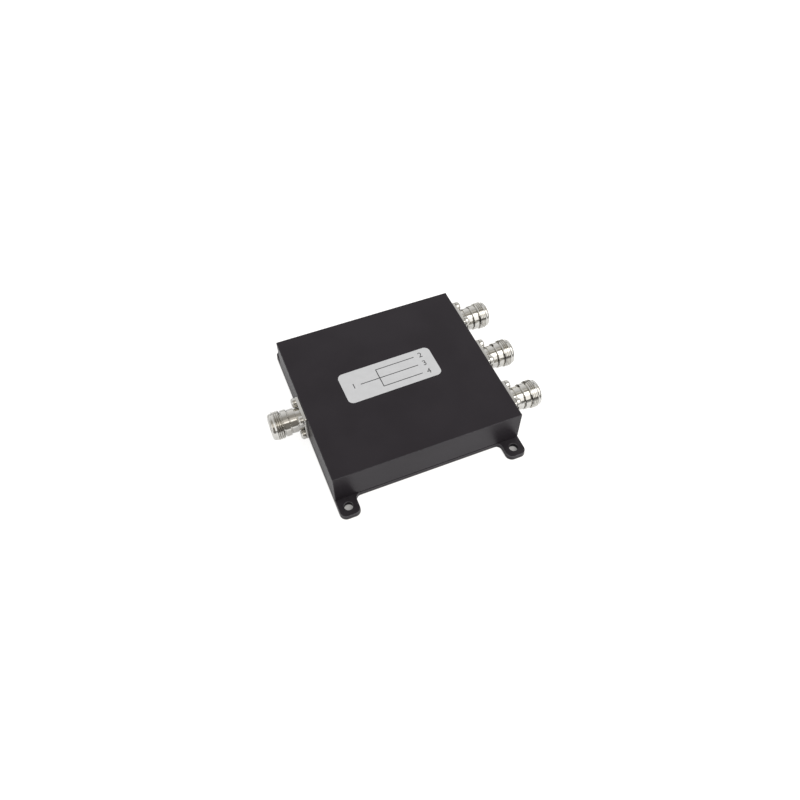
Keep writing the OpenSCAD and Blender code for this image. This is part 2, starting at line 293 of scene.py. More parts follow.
def sumShaders(tree, first, second):
    node = addNode(tree, "ShaderNodeAddShader")
    link(tree, first, node.inputs[0])
    link(tree, second, node.inputs[1])
    return node.outputs[0]


def mixShaders(tree, factor, first, second):
    node = addNode(tree, "ShaderNodeMixShader")
    for source, socket in zip((factor, first, second), node.inputs):
        link(tree, source, socket)
    return node.outputs[0]


def seenByEye(tree, path):
    return addMath(tree, "MAXIMUM", path.outputs["Is Camera Ray"], path.outputs["Is Transmission Ray"])


# camera, floor and light

viewSettings = {"place": (-0.090765, -0.229152, 0.331867), "turn": (36.78729, -0.04529, -22.25507),
                "lens": 32.107, "sensor": 36, "clip": (0.01, 20)}


def setCamera(view):
    bpy.ops.object.camera_add(location=view["place"], rotation=[math.radians(a) for a in view["turn"]])
    camera = bpy.context.object
    camera.name = "photoCamera"
    camera.data.sensor_width = view["sensor"]
    camera.data.lens = view["lens"]
    camera.data.clip_start, camera.data.clip_end = view["clip"]
    bpy.context.scene.camera = camera
    bpy.context.scene.view_settings.view_transform = "Standard"


# near white to the eye, plain paper to the metal, and a painted shadow below the plate and its ears and just
# past their edges
floorLook = {"size": 6.0, "paper": (0.51, 0.49, 0.465), "glow": 0.84, "mirrored": 0.92, "gleam": 0.24,
             "paperEnd": (0.115, 0.17), "beyond": 0.1, "shade": (0.0001, 0.0004), "shadeGlow": 0.2,
             "earShade": 0.0206}


def boxDistance(tree, x, y, half, rounding=0.0):
    # distance outside a rectangle with round corners
    past = [addMath(tree, "SUBTRACT", part, side - rounding) for part, side in zip((x, y), half)]
    qx, qy = (addMath(tree, "MAXIMUM", part, 0.0) for part in past)
    return addMath(tree, "SUBTRACT", addLength(tree, qx, qy), rounding)


def paintedShadeOnPaper(tree, place, look):
    # 1 on open paper, less below the plate and its ears and just past their edges: a painted shadow
    x, y = (addMath(tree, "ABSOLUTE", part) for part in splitPlace(tree, place)[:2])
    plateAway = boxDistance(tree, x, y, [metres(part) for part in caseHigh[:2]])
    earHalf = [metres(earWidth / 2), look["earShade"] / 2]
    earX, earY = (addMath(tree, "ABSOLUTE", addMath(tree, "SUBTRACT", part, metres(end) - half))
                  for part, end, half in zip((x, y), plateHigh, earHalf))
    earAway = boxDistance(tree, earX, earY, earHalf, metres(earRound))
    away = addMath(tree, "MINIMUM", plateAway, earAway)
    return addRange(tree, away, *look["shade"], look["shadeGlow"], 1)


def setFloor(look):
    clearSelection()
    bpy.ops.mesh.primitive_plane_add(size=look["size"], location=(0, 0, 0))
    floor = bpy.context.object
    floor.name = "floorSheet"
    material = bpy.data.materials.new("floorPaper")
    material.use_nodes = True
    tree = material.node_tree
    tree.nodes.clear()
    path = addNode(tree, "ShaderNodeLightPath")
    place = addNode(tree, "ShaderNodeTexCoord").outputs["Object"]
    # the paper's glow, and its colour as the metal sees it, are cut back in the painted shadow
    clear = paintedShadeOnPaper(tree, place, look)
    glow = addShader(tree, "ShaderNodeEmission", Strength=addMath(tree, "MULTIPLY", clear, look["glow"]))
    bright = sumShaders(tree, glow, addShader(tree, "ShaderNodeBsdfDiffuse", Color=look["paper"]))
    # beyond the paper's end the room is dark, which the metal shows as a dark line
    away = addNode(tree, "ShaderNodeVectorMath", operation="LENGTH")
    link(tree, place, away.inputs[0])
    ending = addRange(tree, away.outputs["Value"], *look["paperEnd"], look["mirrored"], look["beyond"])
    plain = addShader(tree, "ShaderNodeBsdfDiffuse", Color=addMath(tree, "MULTIPLY", ending, clear))
    mirroring = addMath(tree, "MULTIPLY", path.outputs["Is Glossy Ray"], look["gleam"])
    gleam = addShader(tree, "ShaderNodeEmission", Strength=addMath(tree, "MULTIPLY", mirroring, clear))
    both = mixShaders(tree, seenByEye(tree, path), sumShaders(tree, plain, gleam), bright)
    link(tree, both, addNode(tree, "ShaderNodeOutputMaterial").inputs["Surface"])
    floor.data.materials.append(material)


# the studio as metal sees it: bands by angle from the front horizon over the top to the back,
# a pale card on the left and a narrow strip overhead that only the right side sees
studioLook = {
    "fill": 0.68,
    "bands": [(0.0, 0.14), (0.06, 0.22), (0.255, 0.22), (0.285, 0.9), (0.35, 0.8), (0.43, 0.7),
              (0.47, 0.37), (0.58, 0.37), (0.7, 0.66), (0.85, 0.88), (1.0, 0.94)],
    "warmth": (1.0, 0.95, 0.87), "warmUntil": 0.65,
    "cardFrom": (-0.8, -0.66), "cardFade": (0.42, 0.55), "leftCard": (1.2, 0.75),
    "strip": (0.78, 0.76, 0.72), "stripAt": 0.578, "stripWidth": (0.012, 0.04), "stripFrom": (0.2, 0.3),
}


def addBands(tree, angle, look):
    node = addNode(tree, "ShaderNodeValToRGB")
    ramp = node.color_ramp
    while len(ramp.elements) > 1:
        ramp.elements.remove(ramp.elements[0])
    for i, (place, level) in enumerate(look["bands"]):
        stop = ramp.elements[0] if i == 0 else ramp.elements.new(place)
        stop.position = place
        tint = look["warmth"] if place < look["warmUntil"] else (1, 1, 1)
        stop.color = (*(level * t for t in tint), 1)
    link(tree, angle, node.inputs["Fac"])
    return node.outputs["Color"]


def setStudio(look):
    world = bpy.data.worlds.new("lightTent")
    bpy.context.scene.world = world
    world.use_nodes = True
    tree = world.node_tree
    tree.nodes.clear()
    path = addNode(tree, "ShaderNodeLightPath")
    x, y, z = splitPlace(tree, addNode(tree, "ShaderNodeTexCoord").outputs["Generated"])
    front = addMath(tree, "MULTIPLY", y, -1.0)
    angle = addMath(tree, "DIVIDE", addMath(tree, "ARCTAN2", z, front), math.pi)
    leftward = addRange(tree, x, *look["cardFrom"], 1, 0)
    card = addRange(tree, angle, *look["cardFade"], *look["leftCard"])
    withCard = addBlend(tree, leftward, addBands(tree, angle, look), card)
    offStrip = addMath(tree, "ABSOLUTE", addMath(tree, "SUBTRACT", angle, look["stripAt"]))
    rightward = addRange(tree, x, *look["stripFrom"], 0, 1)
    onStrip = addMath(tree, "MULTIPLY", rightward, addRange(tree, offStrip, *look["stripWidth"], 1, 0))
    withStrip = addBlend(tree, onStrip, withCard, look["strip"])
    mirrored = addShader(tree, "ShaderNodeBackground", Color=withStrip)
    fill = addShader(tree, "ShaderNodeBackground", Color=(1, 1, 1), Strength=look["fill"])
    white = addShader(tree, "ShaderNodeBackground", Color=(1, 1, 1))
    forMetal = mixShaders(tree, path.outputs["Is Glossy Ray"], fill, mirrored)
    forEye = mixShaders(tree, seenByEye(tree, path), forMetal, white)
    link(tree, forEye, addNode(tree, "ShaderNodeOutputWorld").inputs["Surface"])


# each lamp is placed by its angle round and above the object
lampSettings = {
    "softBox": {"round": 42, "up": 40, "away": 0.9, "wide": 0.8, "tall": 0.9, "power": 2.6},
    "topLamp": {"round": 44, "up": 56, "away": 0.9, "wide": 0.34, "tall": 0.3, "power": 0.5},
}


def setLamps(lamps):
    for name, settings in lamps.items():
        turn, rise = math.radians(settings["round"]), math.radians(settings["up"])
        out, up = settings["away"] * math.cos(rise), settings["away"] * math.sin(rise)
        place = (out * math.sin(turn), -out * math.cos(turn), up)
        clearSelection()
        bpy.ops.object.light_add(type="AREA", location=place, rotation=(quarterTurn - rise, 0, turn))
        lamp = bpy.context.object
        lamp.name = name
        lamp.data.shape = "RECTANGLE"
        lamp.data.size = settings["wide"]
        lamp.data.size_y = settings["tall"]
        lamp.data.energy = settings["power"]


setCamera(viewSettings)
setFloor(floorLook)
setStudio(studioLook)
setLamps(lampSettings)
print("camera, floor and light set")


# finishes, all on Object coordinates in metres

noiseLook = {"cloudDetail": 4, "cloudRange": (0.35, 0.65), "grainRange": (0.3, 0.7)}


def newFinish(name):
    material = bpy.data.materials.new(name)
    material.use_nodes = True
    tree = material.node_tree
    coords = addNode(tree, "ShaderNodeTexCoord").outputs["Object"]
    return material, tree, tree.nodes["Principled BSDF"], coords


def addNoise(tree, coords, scale, detail):
    noise = addNode(tree, "ShaderNodeTexNoise")
    link(tree, coords, noise.inputs["Vector"])
    noise.inputs["Scale"].default_value = scale
    noise.inputs["Detail"].default_value = detail
    return noise.outputs["Fac"]


def addClouds(tree, coords, scale):
    cloud = addNoise(tree, coords, scale, noiseLook["cloudDetail"])
    return addRange(tree, cloud, *noiseLook["cloudRange"], 0, 1)


def addWave(tree, coords, direction, scale, distortion=0.0):
    wave = addNode(tree, "ShaderNodeTexWave", wave_type="BANDS", bands_direction=direction)
    link(tree, coords, wave.inputs["Vector"])
    wave.inputs["Scale"].default_value = scale
    wave.inputs["Distortion"].default_value = distortion
    return wave.outputs["Fac"]


def setRough(tree, shader, grain, rough):
    link(tree, addRange(tree, grain, *noiseLook["grainRange"], *rough), shader.inputs["Roughness"])


def addBump(tree, shader, height, strength, distance):
    bump = addNode(tree, "ShaderNodeBump")
    bump.inputs["Strength"].default_value = strength
    bump.inputs["Distance"].default_value = distance
    link(tree, height, bump.inputs["Height"])
    link(tree, bump.outputs["Normal"], shader.inputs["Normal"])


# the pale edges are partly wear and partly a painted highlight, the lighter plate face between the ears is a
# painted reflection
caseLook = {
    "dark": (0.0175, 0.0146, 0.0175), "pale": (0.0225, 0.0192, 0.0225), "clouds": 38,
    "sheen": (1.0, 0.93, 1.0), "gloss": 0.28, "rough": (0.3, 0.42),
    "grain": 4200, "grainDetail": 2, "grainBump": 0.16, "grainDepth": 0.00004,
    "dust": (0.2, 0.195, 0.19), "specks": 95, "speckFrom": 0.9, "speckEdge": (0.022, 0.03),
    "wornAndLit": (0.11, 0.107, 0.112), "caseEdgeWearAndHighlight": 0.4, "plateFacePaintedReflection": 0.12, "earWearAndHighlight": 0.1,
    "paleEdgeWidth": (0.0003, 0.0004), "earEdge": (0.00272, 0.00298), "past": 0.0001,
    "patches": 520, "patchDetail": 3, "patchRange": (0.3, 0.6), "patchLevels": (0.45, 1),
    "seam": (0.00262, 0.00318), "seamPaintedShade": 0.03, "notchHalf": 0.0415,
}


def wearAndPaintedEdgeLight(tree, coords, look):
    # two of the distances to the case's faces are small along its edges, which are painted pale: partly wear,
    # partly a painted highlight
    x, y, z = splitPlace(tree, coords)
    x, y = (addMath(tree, "ABSOLUTE", part) for part in (x, y))
    a, b, c = (addMath(tree, "SUBTRACT", metres(limit), part) for limit, part in zip(caseHigh, (x, y, z)))
    farther = addMath(tree, "MINIMUM", addMath(tree, "MAXIMUM", a, b), c)
    second = addMath(tree, "MAXIMUM", addMath(tree, "MINIMUM", a, b), farther)
    low, high = look["earEdge"]
    aboveEars = addMath(tree, "GREATER_THAN", z, high + look["past"])
    caseShare = addMath(tree, "MULTIPLY", aboveEars, look["caseEdgeWearAndHighlight"])
    caseEdgeLight = addMath(tree, "MULTIPLY", addRange(tree, second, *look["paleEdgeWidth"], 1, 0), caseShare)
    # the plate's face between its ears is painted lighter, a painted reflection of the bright floor, and the
    # ears are painted pale along their upper edge, partly as wear and partly as a painted highlight
    inNotch = addMath(tree, "LESS_THAN", x, look["notchHalf"])
    between = addMath(tree, "MULTIPLY", addMath(tree, "LESS_THAN", z, low), inNotch)
    plateFaceLight = addMath(tree, "MULTIPLY", between, look["plateFacePaintedReflection"])
    onTop = addMath(tree, "MULTIPLY", addMath(tree, "GREATER_THAN", z, high), look["earWearAndHighlight"])
    outside = addMath(tree, "GREATER_THAN", y, metres(caseHigh[1]) + look["past"])
    earEdgeLight = addMath(tree, "MULTIPLY", addMath(tree, "ADD", addWithin(tree, z, low, high), onTop), outside)
    return addMath(tree, "ADD", addMath(tree, "ADD", caseEdgeLight, plateFaceLight), earEdgeLight)


def seamPaintedShade(tree, coords, look):
    # between the ears a band of low gloss along the joint of case and plate is painted shade, standing in for
    # the shadow in the gap
    x, y, z = splitPlace(tree, coords)
    inNotch = addMath(tree, "LESS_THAN", addMath(tree, "ABSOLUTE", x), look["notchHalf"])
    onSeam = addMath(tree, "MULTIPLY", addWithin(tree, z, *look["seam"]), inNotch)
    return addRange(tree, onSeam, 0, 1, look["gloss"], look["seamPaintedShade"])


def addSpecks(tree, coords, look):
    # a few cells hold a grain of dust
    cells = addNode(tree, "ShaderNodeTexVoronoi", voronoi_dimensions="3D", feature="F1")
    link(tree, coords, cells.inputs["Vector"])
    cells.inputs["Scale"].default_value = look["specks"]
    draw = addNode(tree, "ShaderNodeSeparateColor")
    link(tree, cells.outputs["Color"], draw.inputs[0])
    rare = addMath(tree, "GREATER_THAN", draw.outputs[0], look["speckFrom"])
    near = addRange(tree, cells.outputs["Distance"], *look["speckEdge"], 1, 0)
    return addMath(tree, "MULTIPLY", rare, near)


def caseFinish(look):
    material, tree, shader, coords = newFinish("caseSatinBlack")
    grain = addNoise(tree, coords, look["grain"], look["grainDetail"])
    colour = addBlend(tree, addClouds(tree, coords, look["clouds"]), look["dark"], look["pale"])
    colour = addBlend(tree, addSpecks(tree, coords, look), colour, look["dust"])
    patches = addNoise(tree, coords, look["patches"], look["patchDetail"])
    patchy = addRange(tree, patches, *look["patchRange"], *look["patchLevels"])
    # the pale edges and the lighter plate face are painted light over the case's colour
    wornAndLit = addMath(tree, "MULTIPLY", wearAndPaintedEdgeLight(tree, coords, look), patchy)
    link(tree, addBlend(tree, wornAndLit, colour, look["wornAndLit"]), shader.inputs["Base Color"])
    setRough(tree, shader, grain, look["rough"])
    feed(tree, shader.inputs["Specular Tint"], look["sheen"])
    link(tree, seamPaintedShade(tree, coords, look), shader.inputs["Specular IOR Level"])
    addBump(tree, shader, grain, look["grainBump"], look["grainDepth"])
    return material


# root and groove are the colours of the painted shade in the thread and in the grooves
nickelLook = {
    "pale": (0.71, 0.7, 0.67), "warm": (0.65, 0.632, 0.59), "clouds": 240, "rough": (0.06, 0.12),
    "fine": 2600, "fineDetail": 3, "fineShare": 0.5, "lines": 1500, "lineWobble": 1.5,
    "bump": 0.08, "depth": 0.00002, "root": (0.54, 0.525, 0.49), "rootShadeReach": (0.0075, 0.0078),
    "groove": (0.62, 0.605, 0.57), "grooveRadius": 0.0066,
}


def rootShade(tree, coords, look, size):
    # painted shade in the thread roots and grooves, found by the distance from the nearest jack's axis
    x, y, z = splitPlace(tree, coords)
    pitch = metres(portPitch)
    row = addMath(tree, "ROUND", addMath(tree, "DIVIDE", y, pitch))
    across = addMath(tree, "SUBTRACT", y, addMath(tree, "MULTIPLY", row, pitch))
    radius = addLength(tree, across, addMath(tree, "SUBTRACT", z, metres(portHeight)))
    along = addMath(tree, "ABSOLUTE", x)

    def stretch(start, end):
        return addWithin(tree, along, *(metres(size["wall"] + size[station]) for station in (start, end)))

    deep = addRange(tree, radius, *look["rootShadeReach"], 1, 0)
    threadPaintedShade = addMath(tree, "MULTIPLY", deep, stretch("threadStart", "threadEnd"))
    grooves = addMath(tree, "ADD", stretch("neckEnd", "collarStart"), stretch("collarEnd", "threadStart"))
    groovePaintedShade = addMath(tree, "MULTIPLY", grooves, addMath(tree, "LESS_THAN", radius, look["grooveRadius"]))
    return threadPaintedShade, groovePaintedShade


def nickelFinish(name, look, jackSize=None):
    material, tree, shader, coords = newFinish(name)
    shader.inputs["Metallic"].default_value = 1.0
    colour = addBlend(tree, addClouds(tree, coords, look["clouds"]), look["pale"], look["warm"])
    fine = height = addNoise(tree, coords, look["fine"], look["fineDetail"])
    if jackSize:
        # the thread roots and grooves are painted darker as painted shade
        threadPaintedShade, groovePaintedShade = rootShade(tree, coords, look, jackSize)
        colour = addBlend(tree, groovePaintedShade, addBlend(tree, threadPaintedShade, colour, look["root"]), look["groove"])
        # faint cutting marks run round the jacks' axes
        marks = addWave(tree, coords, "X", look["lines"], look["lineWobble"])
        height = addMath(tree, "ADD", marks, addMath(tree, "MULTIPLY", fine, look["fineShare"]))
    link(tree, colour, shader.inputs["Base Color"])
    setRough(tree, shader, fine, look["rough"])
    addBump(tree, shader, height, look["bump"], look["depth"])
    return material


# the other finishes: two close colours in clouds under a fine grain
plainLook = {"metal": 0.0, "grainTimes": 9, "grainDetail": 2, "bump": 0.08, "depth": 0.00002}
plainFinishes = {
    "coverScrewSteel": {"first": (0.09, 0.09, 0.095), "second": (0.14, 0.14, 0.145),
                        "rough": (0.3, 0.42), "clouds": 900, "metal": 1.0},
    "contactGold": {"first": (0.83, 0.6, 0.24), "second": (0.76, 0.53, 0.2),
                    "rough": (0.18, 0.3), "clouds": 700, "metal": 1.0},
    "insulatorWhite": {"first": (0.86, 0.86, 0.84), "second": (0.8, 0.8, 0.78),
                       "rough": (0.38, 0.5), "clouds": 500},
    "copperFoil": {"first": (0.75, 0.39, 0.24), "second": (0.64, 0.32, 0.19),
                   "rough": (0.25, 0.4), "clouds": 400, "metal": 1.0},
    "resistorBlack": {"first": (0.02, 0.02, 0.022), "second": (0.035, 0.035, 0.04),
                      "rough": (0.4, 0.55), "clouds": 1500},
    "labelFilm": {"first": (0.7, 0.7, 0.705), "second": (0.67, 0.67, 0.675),
                  "rough": (0.4, 0.52), "clouds": 260, "bump": 0.05},
    "labelInk": {"first": (0.03, 0.03, 0.032), "second": (0.05, 0.05, 0.052),
                 "rough": (0.45, 0.6), "clouds": 900},
}


def plainFinish(name):
    look = {**plainLook, **plainFinishes[name]}
    material, tree, shader, coords = newFinish(name)
    shader.inputs["Metallic"].default_value = look["metal"]
    colour = addBlend(tree, addClouds(tree, coords, look["clouds"]), look["first"], look["second"])
    link(tree, colour, shader.inputs["Base Color"])
    grain = addNoise(tree, coords, look["clouds"] * look["grainTimes"], look["grainDetail"])
    setRough(tree, shader, grain, look["rough"])
    addBump(tree, shader, grain, look["bump"], look["depth"])
    return material


laminateLook = {"resin": (0.62, 0.56, 0.4), "glass": (0.78, 0.72, 0.55), "weave": 420, "rough": (0.35, 0.5),
                "grain": 900, "grainDetail": 3, "bump": 0.1, "depth": 0.00003}


def laminateFinish(look):
    # woven glass shows as a fine grid under the resin
    material, tree, shader, coords = newFinish("boardLaminate")
    weave = [addWave(tree, coords, direction, look["weave"]) for direction in "XY"]
    grid = addMath(tree, "MULTIPLY", *weave)
    link(tree, addBlend(tree, grid, look["resin"], look["glass"]), shader.inputs["Base Color"])
    setRough(tree, shader, addNoise(tree, coords, look["grain"], look["grainDetail"]), look["rough"])
    addBump(tree, shader, grid, look["bump"], look["depth"])
    return material


blackCase = caseFinish(caseLook)
screwNickel = nickelFinish("screwNickel", nickelLook)
copperFoil = plainFinish("copperFoil")
for node, material in (("housing", blackCase), ("base_screws", plainFinish("coverScrewSteel")),
                       ("splitter_board", laminateFinish(laminateLook)), ("ground_foil", copperFoil),
                       ("copper_trace", copperFoil), ("isolation_resistors", plainFinish("resistorBlack")),
                       ("board_screws", screwNickel)):
    paint(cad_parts[node], material)
print("finishes made")


# base plate with its four ears

plate = {"earSteps": 10, "topEdge": 0.3, "lowEdge": 0.12, "edgeSteps": 3,
         "holeOut": 5.5, "holeRadius": 2.4, "holeBreak": 0.2, "holeMargin": 1, "holeSides": 64,
         "wall": 7, "headRadius": 2.85, "headSink": 0.15, "sinkSides": 48,
         "screwHole": 1.7, "cutPast": 1, "smooth": 40}


def plateCutters(size, halfL, halfW, thick):
    past, b, r = size["cutPast"], size["holeBreak"], size["holeRadius"]
    mountHole = [(-past, r + b + past), (b, r), (thick - b, r), (thick + past, r + b + past)]
    holeX, holeY = halfL - earWidth / 2, halfW + size["holeOut"]
    spots = [(sx * holeX, sy * holeY) for sx in (-1, 1) for sy in (-1, 1)]
    cutters = [standAt(turned("mountHole", mountHole, size["holeSides"]), x, y) for x, y in spots]
    s, h, r = size["headSink"], size["headRadius"], size["screwHole"]
    coverSink = [(-past, h), (s, h), (s + h - r, r), (thick + past, r)]
    cx, cy = halfL - size["wall"] / 2, halfW - size["wall"] / 2
    spots = [(sx * cx, sy * y) for sx in (-1, 1) for sy in (-1, 1) for y in (cy, portPitch / 2)]
    spots += [(0, cy), (0, -cy)]
    return cutters + [standAt(turned("coverSink", coverSink, size["sinkSides"]), x, y) for x, y in spots]


def makePlate(size):
    halfL, halfW, thick = plateHigh[0], caseHigh[1], plateHigh[2]
    end = plateHigh[1]
    inner = halfL - earWidth
    obj = addBlock((2 * halfL, 2 * halfW, thick), (0, 0, thick / 2))
    obj.name = obj.data.name = "basePlate"
    for x in (-inner, inner):
        pickFaces(obj, lambda c, n: True)
        bpy.ops.mesh.bisect(plane_co=(x, 0, 0), plane_no=(1, 0, 0))
    for side in (-1, 1):
        pickFaces(obj, lambda c, n: n.y * side > facing and abs(c.x) > inner)
        bpy.ops.mesh.extrude_region_move(TRANSFORM_OT_translate={"value": (0, side * (end - halfW), 0)})

    def onCorner(a, b):
        upright = abs(a.x - b.x) + abs(a.y - b.y) < sameWithin
        atEnd = abs(abs(a.y) - end) < sameWithin
        atRoot = abs(abs(a.y) - halfW) < sameWithin and abs(abs(a.x) - inner) < sameWithin
        return upright and (atEnd or atRoot)

    pickEdges(obj, onCorner)
    bevelPicked(earRound, size["earSteps"])
    cleanMesh(obj)
    cutAway(obj, joinAll(*plateCutters(size, halfL, halfW, thick)))
    cleanMesh(obj)

    def offHole(p):
        away = math.hypot(abs(p.x) - halfL + earWidth / 2, abs(p.y) - halfW - size["holeOut"])
        return away > size["holeRadius"] + size["holeMargin"]

    def onRim(a, b, z):
        level = abs(a.z - z) + abs(b.z - z) < sameWithin
        outer = max(abs(a.x), abs(b.x)) > halfL - sameWithin or min(abs(a.y), abs(b.y)) > halfW - sameWithin
        return level and outer and offHole(a) and offHole(b)

    for z, width in ((thick, size["topEdge"]), (0, size["lowEdge"])):
        pickEdges(obj, lambda a, b: onRim(a, b, z))
        bevelPicked(width, size["edgeSteps"])
    cleanMesh(obj, size["smooth"])
    dress(toMetres(obj), "base_plate", blackCase)


makePlate(plate)
print("base plate made")


# coaxial jack: turned barrel, square flange and coupling thread, drawn along X from the wall

jack = {
    "ports": {port: middleOf(port + "_shell") for port in ("input", "output_1", "output_2", "output_3")},
    "wall": caseHigh[0],
    "flangeSide": 17.2, "flangeThick": 1.8, "flangeRound": 0.8, "flangeSteps": 6, "flangeEdge": 0.18,
    "screwPitch": 12.7, "screwHole": 1.7, "screwHoleSides": 32, "screwTurns": (17, 62, 38, 80), "cutPast": 1,
    "core": 5.05, "waist": 6.13, "waistEnd": 4.6, "neck": 6.7, "neckEnd": 8.2, "groove": 6.2,
    "collarStart": 8.7, "collar": 7.35, "collarEnd": 11.9, "collarEdge": 0.3, "relief": 6.5,
    "threadStart": 12.6, "threadEnd": 16.3, "threadBreak": 0.4, "leadEnd": 17.2,
    "root": 7.46, "crest": 7.9375, "pitch": 1.0583, "toothBase": 0.98, "crestWidth": 0.34,
    "buried": 0.08, "conePast": 0.3, "nose": 7.4, "noseEnd": 19.1, "noseRound": 1.5,
    "socket": 4.4, "shoulder": 10.0, "mouth": 0.6, "edge": 0.12, "barrelSides": 128, "threadSides": 96,
}
jackNickel = nickelFinish("jackNickel", nickelLook, jack)


def barrelStations(size):
    e, n, c = size["edge"], size["noseRound"], size["collarEdge"]
    neck, groove, collar, relief = size["neck"], size["groove"], size["collar"], size["relief"]
    waistEnd, neckEnd = size["waistEnd"], size["neckEnd"]
    collarStart, collarEnd = size["collarStart"], size["collarEnd"]
    start, end, root = size["threadStart"], size["threadEnd"], size["root"]
    firstTurn = size["crest"] - size["threadBreak"]
    rings = [(0, size["core"]), (0, size["waist"]), (waistEnd, size["waist"]),
             (waistEnd, neck - e), (waistEnd + e, neck), (neckEnd - e, neck), (neckEnd, neck - e),
             (neckEnd, groove), (collarStart, groove),
             (collarStart, collar - c), (collarStart + c, collar),
             (collarEnd - e, collar), (collarEnd, collar - e),
             (collarEnd, relief), (start, relief), (start, firstTurn), (start + root - firstTurn, root),
             (end, root), (end, size["crest"]), (size["leadEnd"], size["nose"])]
    for step in range(0, 91, 10):
        a = math.radians(step)
        rings.append((size["noseEnd"] - n + n * math.sin(a), size["nose"] - n + n * math.cos(a)))
    mouth = size["socket"] + size["mouth"]
    rings += [(size["noseEnd"], mouth + e), (size["noseEnd"] - e / 2, mouth),
              (size["noseEnd"] - size["mouth"], size["socket"]), (size["shoulder"], size["socket"]),
              (size["shoulder"], size["core"]), (0, size["core"])]
    return rings


def makeFlange(size):
    side, thick, past = size["flangeSide"], size["flangeThick"], size["cutPast"]
    obj = addBlock((thick, side, side), (thick / 2, 0, 0))
    pickEdges(obj, lambda a, b: abs(a.x - b.x) > thick / 2)
    bevelPicked(size["flangeRound"], size["flangeSteps"])
    cutters = [turned("coreHole", [(-past, size["core"]), (thick + past, size["core"])])]
    hole = [(-past, size["screwHole"]), (thick + past, size["screwHole"])]
    for sy in (-1, 1):
        for sz in (-1, 1):
            cutter = turned("screwHole", hole, size["screwHoleSides"])
            cutter.location = (0, sy * size["screwPitch"] / 2, sz * size["screwPitch"] / 2)
            cutters.append(fixPlace(cutter))
    cutAway(obj, joinAll(*cutters))
    breakEdges(obj, size["flangeEdge"])
    return cleanMesh(obj)


def makeThread(size):
    # one tooth's outline is wound round the axis, then trimmed square at both ends
    start, end, pitch, crest = size["threadStart"], size["threadEnd"], size["pitch"], size["crest"]
    buried = size["root"] - size["buried"]
    obj = addSheet(pitch * size["toothBase"], crest - buried, (start - pitch, (buried + crest) / 2, 0))
    pickEdges(obj, lambda a, b: min(a.y, b.y) > size["root"])
    bpy.ops.transform.resize(value=(size["crestWidth"], 1, 1), center_override=(start - pitch, 0, 0))
    bpy.ops.mesh.select_all(action="SELECT")
    bpy.ops.mesh.delete(type="ONLY_FACE")
    bpy.ops.object.mode_set(mode="OBJECT")
    turns = math.ceil((end - start) / pitch) + 2  # one to spare at either end
    sides = size["threadSides"]
    useModifier(obj, "SCREW", axis="X", angle=2 * math.pi, screw_offset=pitch, iterations=turns,
                steps=sides, render_steps=sides, use_merge_vertices=False, use_smooth_shade=True)
    for x, way in ((start, -1), (end, 1)):
        pickFaces(obj, lambda c, n: True)
        bpy.ops.mesh.bisect(plane_co=(x, 0, 0), plane_no=(way, 0, 0), use_fill=True, clear_outer=True)
    bpy.ops.object.mode_set(mode="OBJECT")
    cleanMesh(obj)
    # the first turn is broken at 45 degrees
    low, back = crest - size["threadBreak"], start - size["cutPast"]
    reach = size["threadBreak"] + size["conePast"]
    cone = [(back, low), (start, low), (start + reach, low + reach), (back, low + reach), (back, low)]
    cutAway(obj, turned("threadCone", cone, sides))
    return cleanMesh(obj)


def atPort(obj, size, port):
    x, y, z = size["ports"][port]
    obj.rotation_euler = (0, 0, math.pi if x < 0 else 0)
    obj.location = (math.copysign(size["wall"], x), y, z)
    return toMetres(fixPlace(obj))


barrel = turned("jackBarrel", barrelStations(jack), jack["barrelSides"])
shellMaster = joinAll(barrel, makeFlange(jack), makeThread(jack))
print("jack shell drawn with", len(shellMaster.data.polygons), "faces")


# pan head screw with a cross recess, head towards +X

panScrew = {"shank": 1.5, "length": 6, "point": 0.3, "head": 2.75, "tall": 2.6, "crown": 1.3, "edge": 0.1,
            "bladeWidth": 0.7, "bladeLength": 3.0, "bladeDepth": 1.1, "bladeTaper": 0.6, "rim": 0.06,
            "sides": 48, "smooth": 35}


def makePanScrew(size):
    tall, head, crown, edge = size["tall"], size["head"], size["crown"], size["edge"]
    shank, length, point = size["shank"], size["length"], size["point"]
    rings = [(-length, shank - point), (-length + point, shank), (0, shank), (0, head - edge), (edge, head)]
    for step in range(0, 86, 9):
        a = math.radians(step)
        rings.append((tall - crown + crown * math.sin(a), head - crown + crown * math.cos(a)))
    rings.append((tall, head - crown))
    obj = turned("panScrew", rings, size["sides"])
    depth, taper = size["bladeDepth"], size["bladeTaper"]
    for turn in (45, 135):
        blade = addBlock((2 * depth, size["bladeLength"], size["bladeWidth"]), (tall, 0, 0), turn)
        pickFaces(blade, lambda c, n: n.x < -facing)
        bpy.ops.transform.resize(value=(1, taper, taper), center_override=(tall - depth, 0, 0))
        cutAway(obj, blade)
    breakEdges(obj, size["rim"])
    return cleanMesh(obj, size["smooth"])


def makeScrewSet(size, screw):
    copies = []
    # every screw stops at its own angle
    for (sy, sz), turn in zip(((1, 1), (-1, 1), (-1, -1), (1, -1)), size["screwTurns"]):
        one = copyOf(screw, "flangeScrew")
        one.rotation_euler = (math.radians(turn), 0, 0)
        one.location = (size["flangeThick"], sy * size["screwPitch"] / 2, sz * size["screwPitch"] / 2)
        copies.append(fixPlace(one))
    return joinAll(*copies)


# centre contact with four spring fingers

contact = {"tail": 0.65, "tailEnd": -13.0, "tailEdge": 0.15, "tailLength": 6.0, "flat": 0.45,
           "back": -4.0, "radius": 1.52, "tip": 14.6, "edge": 0.33, "edgeBulge": (0.25, 0.6),
           "slot": 0.35, "slotLength": 4.0, "bore": 0.85, "boreEdge": 0.05, "boreDepth": 6.0,
           "borePoint": 0.4, "borePointRadius": 0.085, "cutPast": 1, "cutWidth": 4, "sides": 64, "smooth": 35}


